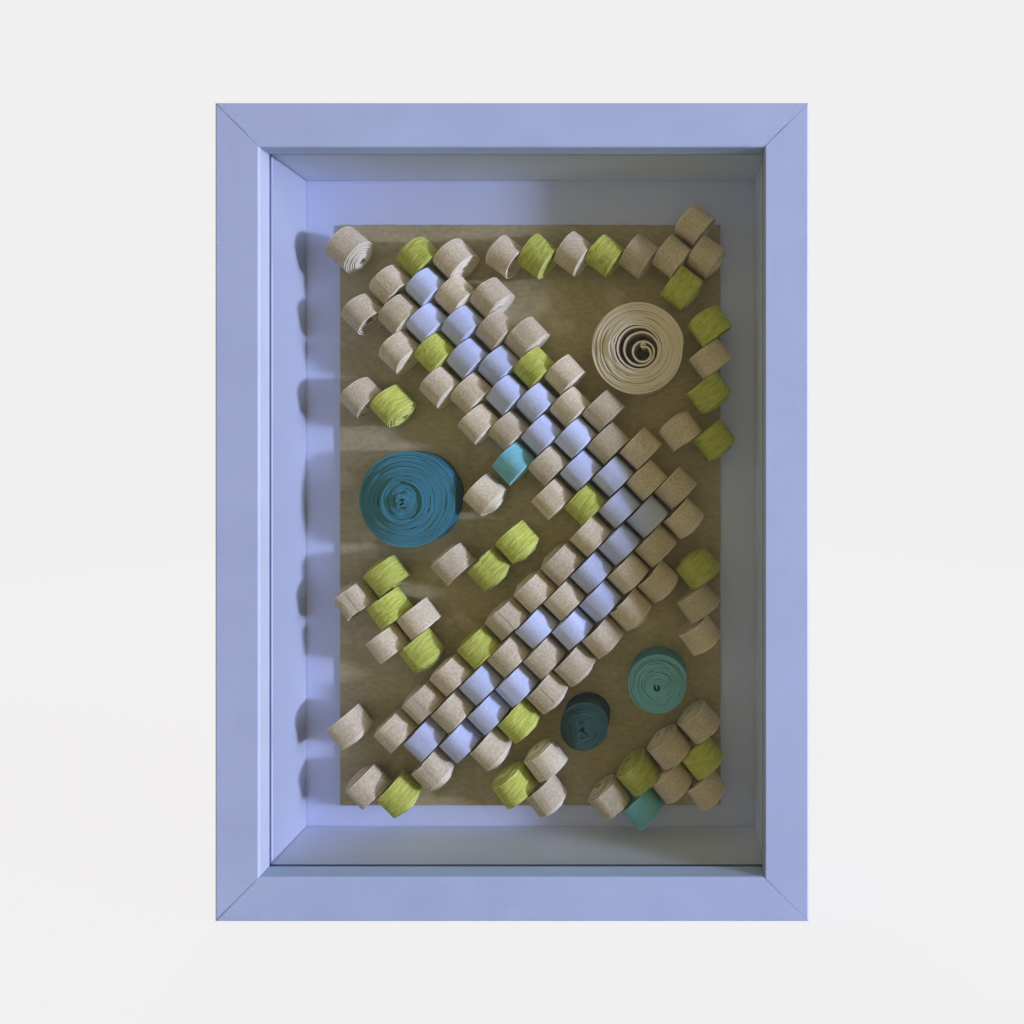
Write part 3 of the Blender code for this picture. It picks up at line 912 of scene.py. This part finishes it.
@dataclass(frozen=True)
class Laying:
    """How the rolls lie, as in the CAD model."""

    diameter: float = 0.0158
    side_gap: float = 0.00095
    row_gap: float = 0.00085
    side_looseness: float = 0.0005
    row_looseness: float = 0.0003
    row_slide: float = 0.0012
    lean_looseness: float = math.radians(1.6)
    sizes: tuple[float, float] = (0.97, 1.01)
    sides: int = 12
    lap_sides: tuple[int, int] = (3, 6)
    lap_shift: float = 2.5
    seed: int = 7
    patches: tuple[Patch, ...] = (
        Patch((-0.24, -0.01), 45, """
            .......nnl .......npn .......npn .......lpn .......npn .......npn
            .......npl .......npn .......tpn .......npn .......npn .......lpn
            nnnlnnnnpn pnpnpnpppn npppnppnnn .nlnnnnn..
        """),
        Patch((0.20, 0.437), 37, "n... l... .n.. .l.. ..n. ..nn ..ln"),
        Patch((0.47, 0.265), 54, ".l n. l."),
        Patch((0.415, 0.125), 52, "n l"),
        Patch((-0.40, 0.18), 46, "n l"),
        Patch((-0.45, 0.45), 40, "n"),
        Patch((-0.11, 0.035), 44, "n"),
        Patch((-0.335, -0.172), 52, "nl l. nn l."),
        Patch((-0.12, -0.07), 47, "n. ll"),
        Patch((0.44, -0.14), 53, ".l n. n."),
        Patch((0.03, -0.445), 53, "ln n."),
        Patch((0.37, -0.44), 50, "nlnn tnl. ..n."),
        Patch((-0.385, -0.47), 45, "n l"),
        Patch((-0.45, -0.35), 50, "n"),
    )

    def rolls(self, card: Card) -> Iterator[Roll]:
        """Lays every roll.

        Args:
            card: The card that they lie on.

        Yields:
            The rolls, in the order of the charts.
        """
        chance = random.Random(self.seed)
        letters = {paper.value: paper for paper in Paper}
        side_pitch, row_pitch = self.diameter + self.side_gap, ROLL_WIDTH + self.row_gap
        for patch in self.patches:
            lean, lines = math.radians(patch.lean), patch.chart.split()
            along, aside = ways(lean)
            down = -(len(lines) - 1) / 2 * row_pitch
            for row, line in enumerate(lines):
                out = ((row % 2 + 1 - len(line)) / 2) * side_pitch
                out += chance.uniform(-self.row_slide, self.row_slide)
                for letter in line:
                    middle = card.point(patch.place) + down * along + out * aside
                    turned = lean + chance.uniform(-self.lean_looseness, self.lean_looseness)
                    size_share, push_share = chance.uniform(*self.sizes), chance.uniform(-1, 1)
                    lap_side = chance.randint(*self.lap_sides)
                    if letter in letters:
                        paper = letters[letter]
                        yield Roll(paper, middle, turned, size_share, lap_side, push_share)
                    out += side_pitch + chance.uniform(0, self.side_looseness)
                down += row_pitch + chance.uniform(0, self.row_looseness)


@dataclass
class RollWork:
    """Winds every roll from a strip of its own."""

    card: Card
    laying: Laying = field(default_factory=Laying)
    thickness: float = 0.00055
    gap: float = 0.00007
    sink: float = 0.0003
    core: tuple[float, float] = (0.0008, 0.0019)
    oval: float = 0.04
    dent: float = 0.0006
    dent_scale: float = 1.7
    waver: float = 0.00045
    waver_scale: float = 2.3
    push: float = 0.0004
    fray: float = 0.00006
    crepe_fray: float = 0.00022
    free_reach: float = 0.0024
    free_shares: tuple[float, ...] = (-0.45, -0.2, 0.0, 0.2, 0.45)
    free_layers: tuple[int, int] = (3, 5)
    free_step: tuple[float, float] = (0.00025, 0.0005)
    free_gap: tuple[float, float] = (0.00015, 0.0004)
    core_steps: float = 0.6
    slack: tuple[float, float] = (0.6, 1.8)
    coarse_after: float = 1.3
    fine_step: float = 1 / 30
    coarse_step: float = 1 / 18
    seed: int = 21

    def make(self, coils: Sequence["Coil"]) -> None:
        """Winds the rolls and gathers them by paper.

        Args:
            coils: The coils that stand between them.
        """
        rolls = list(self.laying.rolls(self.card))
        chance = random.Random(self.seed)
        benches = {}
        for roll in rolls:
            name = self._piece_name(roll)
            bench = benches.setdefault((name, roll.paper), StripBench(name, self.thickness))
            line, seat = self._line(roll, chance, self._free_side(roll, rolls, coils))
            turned = Matrix.Rotation(math.pi / 2 - roll.lean, 4, "Z")
            lying = turned @ Matrix.Rotation(math.pi / 2, 4, "X")
            place = self.card.stand(roll.middle, seat) @ lying
            fray = self.crepe_fray if roll.paper is Paper.LIME else self.fray
            bench.wind(line, ROLL_FINISHES[roll.paper].width, place, chance.random(), fray)
        materials = {paper: ROLL_FINISHES[paper].make() for paper in Paper}
        for (_, paper), bench in benches.items():
            bench.finish(materials[paper], self._nodes(paper), paper.slot)

    def _piece_name(self, roll: Roll) -> str:
        """The piece that the roll is part of. The many natural ones are split at the middle."""
        if roll.paper is Paper.NATURAL:
            return "natural_rolls_upper" if roll.middle.y > 0 else "natural_rolls_lower"
        return f"{roll.paper.colour_name}_rolls"

    def _nodes(self, paper: Paper) -> list[str]:
        """The CAD nodes that the rolls of this paper stand for."""
        if paper in (Paper.NATURAL, Paper.PERIWINKLE):
            return ["card_with_rolls"]
        return [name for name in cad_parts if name.startswith(f"{paper.colour_name}_roll_")]

    def _free_side(self, roll: Roll, rolls: Sequence[Roll], coils: Sequence["Coil"]) -> int:
        """Which end of a roll has room past it, so that its turns can stand out there.

        Args:
            roll: The roll.
            rolls: All the rolls.
            coils: All the coils.

        Returns:
            1 for the end that its axis points to, -1 for the other, and 0 for neither.
        """
        others = [other for other in rolls if other is not roll]
        along, aside = ways(roll.lean)
        for side in (1, -1):
            end = roll.middle + side * along * (ROLL_WIDTH / 2 + self.free_reach)
            points = [end + share * self.laying.diameter * aside for share in self.free_shares]
            if not any(self._is_taken(point, others, coils) for point in points):
                return side
        return 0

    def _is_taken(self, point: Vector, rolls: Sequence[Roll], coils: Sequence["Coil"]) -> bool:
        """Whether a roll or a coil stands at a point on the card.

        Args:
            point: The point.
            rolls: The rolls that may be there.
            coils: All the coils.

        Returns:
            True if one is there.
        """
        for other in rolls:
            off_along, off_aside = other.from_middle(point)
            if off_along < ROLL_WIDTH / 2 and off_aside < self.laying.diameter / 2:
                return True
        return any(
            (point - self.card.point(coil.place)).length < coil.diameter / 2 for coil in coils
        )

    def _line(self, roll: Roll, chance: random.Random, free: int) -> tuple[list[Vector], float]:
        """The strip's lower edge, from the lap on top of the roll to its core.

        Args:
            roll: The roll.
            chance: Where its own irregularities come from.
            free: The end at which its turns can stand out: 1, -1 or neither.

        Returns:
            The points of the edge, with the winding's axis along Z, and the height of that axis
            over the card.
        """
        radius = self.laying.diameter * roll.size_share / 2
        pitch = self.thickness + self.gap * chance.uniform(*self.slack)
        first_bottom = (roll.lap_side + self.laying.lap_shift) / self.laying.sides
        lap = math.tau * first_bottom - math.pi / 2
        oval, oval_turn = chance.uniform(0, self.oval), chance.uniform(0, math.pi)
        layers = chance.randint(*self.free_layers)
        spread = chance.uniform(*self.free_gap) * abs(free)
        step = chance.uniform(*self.free_step) * free
        key = chance.uniform(0, 90)
        seat = radius - self.sink
        count = (radius - layers * spread - chance.uniform(*self.core)) / pitch
        width = ROLL_FINISHES[roll.paper].width
        line, turns = [], 0.0
        while turns < count:
            angle = lap - math.tau * turns
            right, up = math.cos(angle), math.sin(angle)
            pared = 1 - between(turns * math.tau * radius, PARED_END)
            reach = radius + (pitch - self.thickness) / 2 - pitch * turns
            reach -= pared * (pitch - self.thickness / 2)
            reach -= spread * max(0.0, min(turns - 0.5, layers))
            reach *= 1 + oval * math.cos(2 * (angle - oval_turn))
            dent = noise.noise(Vector((right * self.dent_scale, up * self.dent_scale, key)))
            reach += dent * self.dent
            layer = max(0, round(turns - first_bottom))
            floor = (0.5 + layer) * self.thickness - seat
            depth = self._depth(turns, count, layers, step)
            depth += self.push * roll.push_share * turns / count
            depth += noise.noise(Vector((turns * self.waver_scale, key, 3.0))) * self.waver
            line.append(Vector((reach * right, max(reach * up, floor), depth - width / 2)))
            turns += self.fine_step if turns < self.coarse_after else self.coarse_step
        return line, seat

    def _depth(self, turns: float, count: float, layers: int, step: float) -> float:
        """How far a turn stands out of a free end, in a step for each of its layers.

        Args:
            turns: The turn, from the outside.
            count: How many turns there are.
            layers: How many of them step out.
            step: How far each does.

        Returns:
            The distance along the axis.
        """
        whole = math.floor(turns)
        stairs = whole + between(turns - whole, ((0.5, 0.0), (1.0, 1.0)))
        return step * (min(stairs, layers) + self.core_steps * max(0.0, turns - layers) / count)


@dataclass(frozen=True)
class Coil:
    """One flat coil, pushed up in the middle. Its turns lie close down to its ring, apart from
    short arcs where two of them gape, and its loops are loose. The strip's end crosses the eye."""

    node: str
    finish: PaperFinish
    slot: str
    place: tuple[float, float]
    diameter: float
    rise: float
    ledges: tuple[tuple[float, float], ...]
    tail: tuple[tuple[float, float], ...]
    turn: float = 0.00084
    thickness: float = 0.00076
    ring: float = 0.0012
    loops: tuple[tuple[float, float], ...] = ()
    stray: tuple[tuple[float, float], ...] = ((0.0, 0.0),)
    stray_turn: float = 0.0
    gapes: int = 9
    gape: tuple[float, float] = (0.0002, 0.00045)
    gape_arc: tuple[float, float] = (9.0, 26.0)
    gape_fade: float = 4.0
    steps: int = 72
    tail_step: float = 0.00014
    lift: float = 0.0002
    fray: float = 0.00002
    tint: float = 0.5
    wobble: float = 0.0002
    wobble_scale: float = 1.1
    jitter: float = 0.0007
    jitter_scale: float = 1.3
    seed: int = 0

    def make(self, card: Card) -> None:
        """Winds the coil and stands it on the card.

        Args:
            card: The card.
        """
        bench = StripBench(f"{self.node}_strip", self.thickness)
        place = card.stand(card.point(self.place), self.lift)
        bench.wind(self._line(), COIL_WIDTH, place, self.tint, self.fray)
        bench.finish(self.finish.make(), [self.node], self.slot)

    def _arcs(self, count: int) -> list[tuple[float, float, float, float]]:
        """Where two turns gape.

        Args:
            count: How many turns there are.

        Returns:
            For each arc the turn between the two, the middle of the arc, half its width and how
            wide it gapes, with angles in radians.
        """
        chance = random.Random(self.seed)
        arcs = []
        for _ in range(self.gapes):
            middle = chance.uniform(0, math.tau)
            half = math.radians(chance.uniform(*self.gape_arc))
            at = chance.randint(1, max(1, count - 3)) + 0.5 + middle / math.tau
            arcs.append((at, middle, half, chance.uniform(*self.gape)))
        return arcs

    def _spread(self, arcs: Sequence[tuple[float, float, float, float]], turns: float) -> float:
        """How far a turn is pushed out by the gapes inside it, or in by those outside it.

        Args:
            arcs: Where turns gape.
            turns: The place on the strip, in turns from its outer end.

        Returns:
            The push outwards.
        """
        total = 0.0
        for at, middle, half, gape in arcs:
            off = (math.tau * turns - middle + math.pi) % math.tau - math.pi
            near = 1 - abs(turns - at) / self.gape_fade
            if abs(off) < half and near > 0:
                bump = (1 + math.cos(math.pi * off / half)) / 2
                total += math.copysign(gape / 2, at - turns) * near * bump
        return total

    def _line(self) -> list[Vector]:
        """The strip's lower edge, from its outer end to its eye.

        Returns:
            The points of the edge, in the coil's own place.
        """
        outer = (self.diameter - self.thickness) / 2
        arcs = self._arcs(int((outer - self.ring) / self.turn))
        aside = Vector((math.cos(self.stray_turn), math.sin(self.stray_turn), 0.0))
        line, number, radius, angle = [], 0, outer, 0.0
        while radius > self.ring:
            turns = number / self.steps
            angle = math.tau * turns
            radius = outer - self.turn * turns
            if self.loops:
                radius = min(radius, between(turns, self.loops))
            pared = 1 - between(angle * outer, PARED_END)
            ray = Vector((math.cos(angle), math.sin(angle), 0.0))
            swirl = ray * self.wobble_scale + Vector((0.0, 0.0, turns + self.seed))
            out = radius + self._spread(arcs, turns) - pared * (self.turn - self.thickness / 2)
            out += noise.noise(swirl) * self.wobble
            point = ray * out + aside * between(turns, self.stray)
            height = self.rise * (1 - (radius / outer) ** 2) + between(radius, self.ledges)
            point.z = max(0.0, height + noise.noise(swirl * self.jitter_scale) * self.jitter)
            line.append(point)
            number += 1
        return line + self._tail(line[-1], angle + math.pi / 2)

    def _tail(self, start: Vector, heading: float) -> list[Vector]:
        """The strip's inner end, which bends across the eye.

        Args:
            start: Where it leaves the winding.
            heading: Where it points there.

        Returns:
            Its points after the start.
        """
        points = [start]
        for length, bend in self.tail:
            pieces = max(2, round(length / self.tail_step))
            for _ in range(pieces):
                heading += math.radians(bend) / pieces
                ahead = Vector((math.cos(heading), math.sin(heading), 0.0))
                points.append(points[-1] + ahead * length / pieces)
        return points[1:]


COILS = (
    Coil(
        "blue_coil", BLUE_PAPER, "blue_paper", (-0.295, 0.03), 0.042, 0.0052,
        ((0.0, 0.0019), (0.0023, 0.0018), (0.0029, 0.0004), (0.0070, 0.0), (0.0079, 0.0002),
         (0.0086, 0.0014), (0.0093, 0.0011), (0.0101, 0.0), (0.0163, 0.0), (0.0170, -0.0003),
         (0.021, 0.0)),
        ((0.0008, 100.0), (0.0009, 0.0), (0.0006, -110.0)),
        turn=0.0009, thickness=0.0008,
        stray=((0.0, 0.0), (7.0, 0.0003), (17.0, 0.0003), (21.0, 0.0)), stray_turn=3.5,
        gapes=10, gape=(0.0002, 0.0006), gape_arc=(9.0, 28.0), jitter=0.00065, seed=4,
    ),
    Coil(
        "open_coil", TAN_PAPER, "natural_paper", (0.285, 0.28), 0.040, 0.0030,
        ((0.0, 0.0), (0.0088, 0.0), (0.0112, 0.0004), (0.0150, 0.0), (0.020, -0.0001)),
        ((0.0020, 60.0), (0.0026, -200.0), (0.0010, -50.0)),
        turn=0.0009, thickness=0.00082, ring=0.0031,
        loops=((0.0, 0.0198), (10.2, 0.0105), (11.2, 0.0093), (12.2, 0.0078), (13.2, 0.0046),
               (14.2, 0.0030)),
        stray=((0.0, 0.0), (7.0, 0.0003), (11.2, 0.0003), (12.6, 0.0019), (13.4, 0.0030),
               (14.2, 0.0034)),
        stray_turn=5.5, gapes=12, jitter=0.0008, seed=11,
    ),
    Coil(
        "sea_coil", SEA_PAPER, "sea_paper", (0.335, -0.275), 0.026, 0.0036,
        ((0.0, 0.0004), (0.0047, 0.0006), (0.0052, 0.0), (0.0079, 0.0), (0.0084, 0.0004),
         (0.0100, 0.0003), (0.0106, -0.0010), (0.013, -0.0003)),
        ((0.0009, 100.0), (0.0014, -5.0)),
        ring=0.0015, stray=((0.0, 0.0), (5.0, 0.0002), (10.0, 0.0002), (13.0, 0.0)),
        stray_turn=0.4, seed=23,
    ),
    Coil(
        "dark_coil", DARK_PAPER, "dark_paper", (0.15, -0.345), 0.0215, 0.0038,
        ((0.0, -0.0006), (0.0016, 0.0), (0.006, 0.0), (0.0065, 0.0002), (0.0108, 0.0)),
        ((0.0008, 80.0), (0.0009, -70.0)),
        gapes=7, seed=37,
    ),
)


@dataclass
class Housing:
    """The frame that the CAD model holds: its rails, pane, lining, panel, tabs and hanger."""

    nail_head: float = 0.0017
    nail_shank: float = 0.0007
    nail_length: float = 0.0035
    nail_rise: float = 0.0006
    nail_inset: float = 0.0035
    nail_seat: float = 0.0011
    nail_sides: int = 20
    nail_bevel: float = 0.00012
    lip: float = 0.0067
    wall: float = 0.0107
    mitre_gap: float = 0.00026
    mitre_inset: float = 0.00005
    mitre_cut: float = 0.00045

    def dress(self) -> None:
        """Gives every kept CAD node its finish."""
        panel_front, liner_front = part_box("back_panel")[0].y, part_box("left_liner")[0].y
        low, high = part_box("bottom_rail")[1].z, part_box("top_rail")[0].z
        middle = (low + high) / 2
        upright = FoilFinish("foil_upright", Run.UP, 0.0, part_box("right_rail")[0].x).make()
        # The level rails' painted shade on their faces towards the opening dims only red
        level = FoilFinish(
            "foil_level", Run.ACROSS, middle, high - middle, inner=(0.88, 1.0, 1.0)
        ).make()
        board = BoardFinish("lining_board", liner_front).make()
        # Painted shade: the left liner gets a darker, greyer copy of the lining board, as it faces
        # the key lamp
        painted_shade_board_material = BoardFinish(
            "greyer_board", liner_front, colour=tone(174, 179, 197), dark=tone(165, 170, 188)
        ).make()
        steel = SteelFinish("zinc_steel").make()
        materials = {
            "left_rail": upright, "right_rail": upright, "top_rail": level, "bottom_rail": level,
            "left_liner": painted_shade_board_material, "right_liner": board, "top_liner": board, "bottom_liner": board,
            "glass_pane": GlassFinish("picture_glass").make(),
            "back_panel": PanelFinish("hardboard", panel_front).make(),
            "hanger": steel,
        }
        materials.update({name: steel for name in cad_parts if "_tab_" in name})
        for name, material in materials.items():
            coat(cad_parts[name], material)
            LOG.info("%s: finished as %s", name, material.name)
        self._make_mitres()
        self._make_nails(steel)

    def _make_mitres(self) -> None:
        """Fills the mitre in each corner of the frame with a thin plate of the rails' section."""
        left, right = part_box("left_rail")[0].x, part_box("right_rail")[1].x
        bottom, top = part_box("bottom_rail")[0].z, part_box("top_rail")[1].z
        bm = bmesh.new()
        for side, inward in ((left, 1), (right, -1)):
            for end, upward in ((bottom, 1), (top, -1)):
                bm.faces.new([
                    bm.verts.new((side + inward * deep, back, end + upward * deep))
                    for deep, back in self._section()
                ])
        made = new_object("mitre_plates", bm)
        thicken(made, self.mitre_gap)
        finish_piece(made, SeamFinish("mitre").make(), [], "white_foil")

    def _section(self) -> list[tuple[float, float]]:
        """The outline of a rail's section, a hair inside it.

        Returns:
            Its corners: how far in they are from the rail's outer side, and their Y.
        """
        low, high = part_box("left_rail")
        rim, cut = self.mitre_inset, self.mitre_cut
        face, wall = high.x - low.x - rim, self.wall - rim
        front, ledge, back = low.y + rim, low.y + self.lip - rim, high.y - rim
        return [
            (rim, front + cut), (rim + cut, front), (face - cut, front), (face, front + cut),
            (face, ledge), (wall, ledge), (wall, back), (rim + cut, back), (rim, back - cut),
        ]

    def _make_nails(self, steel: bpy.types.Material) -> None:
        """Drives a small nail through each foot of the hanger.

        Args:
            steel: The nails' material.
        """
        low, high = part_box("hanger")
        panel_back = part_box("back_panel")[1].y
        bm = bmesh.new()
        for across in (low.x + self.nail_inset, high.x - self.nail_inset):
            seat = Vector((across, panel_back + self.nail_seat, (low.z + high.z) / 2))
            self._add_pin(bm, seat, self.nail_head, self.nail_head / 2, self.nail_rise)
            self._add_pin(bm, seat, self.nail_shank, self.nail_shank, -self.nail_length)
        made = new_object("hanger_nails", bm)
        smooth(made.data)
        finish_piece(made, steel, [], "steel")

    def _add_pin(
        self, bm: bmesh.types.BMesh, seat: Vector, wide: float, narrow: float, depth: float
    ) -> None:
        """Adds a round pin from a point on the hanger, along Y.

        Args:
            bm: The mesh that it goes into.
            seat: The middle of its first end.
            wide: Its radius there.
            narrow: Its radius at the other end.
            depth: Its length, negative towards the front.
        """
        along = Matrix.Rotation(-math.pi / 2 if depth > 0 else math.pi / 2, 4, "X")
        middle = Matrix.Translation(seat + Vector((0.0, depth / 2, 0.0)))
        verts = bmesh.ops.create_cone(
            bm, cap_ends=True, segments=self.nail_sides, radius1=wide, radius2=narrow,
            depth=abs(depth), matrix=middle @ along,
        )["verts"]
        edges = dict.fromkeys(edge for vert in verts for edge in vert.link_edges)
        rims = [edge for edge in edges if edge.calc_face_angle() > SHARP]
        bmesh.ops.bevel(
            bm, geom=rims, offset=self.nail_bevel, affect="EDGES", segments=2, profile=0.5,
            material=-1,
        )


@dataclass(frozen=True)
class Lamp:
    """A flat lamp that shines on the frame's middle, with its direction as seen from there."""

    name: str
    direction: tuple[float, float, float]
    distance: float
    size: tuple[float, float]
    power: float
    colour: Colour = WHITE

    def hang(self, middle: Vector) -> None:
        """Puts the lamp in the scene.

        Args:
            middle: The middle of the frame.
        """
        lamp = bpy.data.lights.new(self.name, "AREA")
        lamp.energy, lamp.color, lamp.shape = self.power, self.colour, "RECTANGLE"
        lamp.size, lamp.size_y = self.size
        made = bpy.data.objects.new(self.name, lamp)
        bpy.context.scene.collection.objects.link(made)
        outward = Vector(self.direction).normalized()
        made.location = middle + outward * self.distance
        made.rotation_euler = (-outward).to_track_quat("-Z", "Y").to_euler()


@dataclass(frozen=True)
class FloorFinish(Finish):
    """A matt floor in the backdrop's colour, which takes the object's shadow near it and is plain
    backdrop farther off."""

    backdrop: Colour
    matt: Colour = (0.85, 0.88, 0.95)
    bounce: Colour = (0.5, 0.48, 0.34)
    glow_strength: float = 1.024
    glow_share: float = 0.945
    shadow_reach: tuple[float, float] = (0.6, 1.3)

    def lay(self, nodes: Nodes) -> None:
        """Lays the nodes of the floor.

        Args:
            nodes: The material's nodes.
        """
        colour = nodes.blend(nodes.seen(), self.bounce, self.matt)
        matt = nodes.make("ShaderNodeBsdfDiffuse", {}, {"Color": colour})
        place = nodes.place()
        away = (nodes.part(place, "X") ** 2.0 + nodes.part(place, "Y") ** 2.0) ** 0.5
        far = away.ramp(*self.shadow_reach)
        near_glow = nodes.glow("Emission", self.backdrop, self.glow_strength)
        pale = nodes.mixed(far, near_glow, nodes.glow("Emission", self.backdrop))
        share = nodes.seen() * (far * (1.0 - self.glow_share) + self.glow_share)
        nodes.end(nodes.mixed(share, matt, pale))


@dataclass(frozen=True)
class Camera:
    """The camera, close in front of the frame, right of its middle and a little above it."""

    place: tuple[float, float, float] = (0.0598, -0.2835, 0.187)
    lens: float = 23.5
    sensor: float = 36.0
    shift: tuple[float, float] = (-0.1494, -0.0674)
    clip: tuple[float, float] = (0.01, 50.0)

    def make(self) -> None:
        """Puts the camera in the scene and looks through it."""
        camera = bpy.data.cameras.new("camera")
        camera.lens, camera.sensor_width = self.lens, self.sensor
        camera.shift_x, camera.shift_y = self.shift
        camera.clip_start, camera.clip_end = self.clip
        made = bpy.data.objects.new("camera", camera)
        bpy.context.scene.collection.objects.link(made)
        made.location = self.place
        made.rotation_euler = (math.pi / 2, 0.0, 0.0)
        bpy.context.scene.camera = made


@dataclass
class Studio:
    """A pale floor and backdrop, the lamps and the camera."""

    backdrop: Colour = tone(241, 239, 240)
    ambient: Colour = (0.36, 0.30, 0.15)
    floor_half: float = 6.0
    middle: Vector = field(default_factory=lambda: Vector((0.0, 0.0, 0.16)))
    lamps: tuple[Lamp, ...] = (
        Lamp("key_lamp", (0.9426, -0.3338, 0.0), 4.0, (0.36, 0.3), 169.0, (1.0, 1.12, 1.68)),
        Lamp("tall_lamp", (0.925, -0.3276, 0.2), 4.0, (0.65, 1.9), 86.0, (1.0, 1.12, 1.68)),
        Lamp("back_lamp", (-0.35, 0.80, 0.48), 2.2, (1.2, 1.2), 28.0),
        Lamp("left_fill", (-0.93, -0.36, 0.05), 2.2, (0.6, 1.0), 2.6, (1.0, 1.15, 1.5)),
    )
    camera: Camera = Camera()

    def make(self) -> None:
        """Sets up the whole studio."""
        self._make_world()
        self._make_floor()
        for lamp in self.lamps:
            lamp.hang(self.middle)
        self.camera.make()
        bpy.context.scene.view_settings.view_transform = "Standard"

    def _make_world(self) -> None:
        """Makes the pale backdrop, and the softer light that comes from all round."""
        world = bpy.data.worlds.new("studio")
        bpy.context.scene.world = world
        world.use_nodes = True
        nodes = Nodes(world.node_tree)
        light, backdrop = (nodes.glow("Background", tint) for tint in (self.ambient, self.backdrop))
        nodes.end(nodes.mixed(nodes.seen(), light, backdrop), "World")

    def _make_floor(self) -> None:
        """Makes a wide floor under the frame, which isn't part of it."""
        bm = bmesh.new()
        bmesh.ops.create_grid(bm, x_segments=8, y_segments=8, size=self.floor_half)
        floor = new_object("floor", bm)
        coat(floor, FloorFinish("floor", self.backdrop).make())
        floor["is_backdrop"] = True


def main() -> None:
    """Builds the object's looks and the studio round it."""
    logging.basicConfig(level=logging.INFO, format="%(name)s: %(message)s")
    noise.seed_set(NOISE_SEED)
    Studio().make()
    Housing().dress()
    card = Card()
    card.make()
    RollWork(card).make(COILS)
    for coil in COILS:
        coil.make(card)
    boxes = {"cad": CAD_BOX, "visual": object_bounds()}
    {name: [list(corner) for corner in box] for name, box in boxes.items()}


if __name__ == "__main__":
    main()
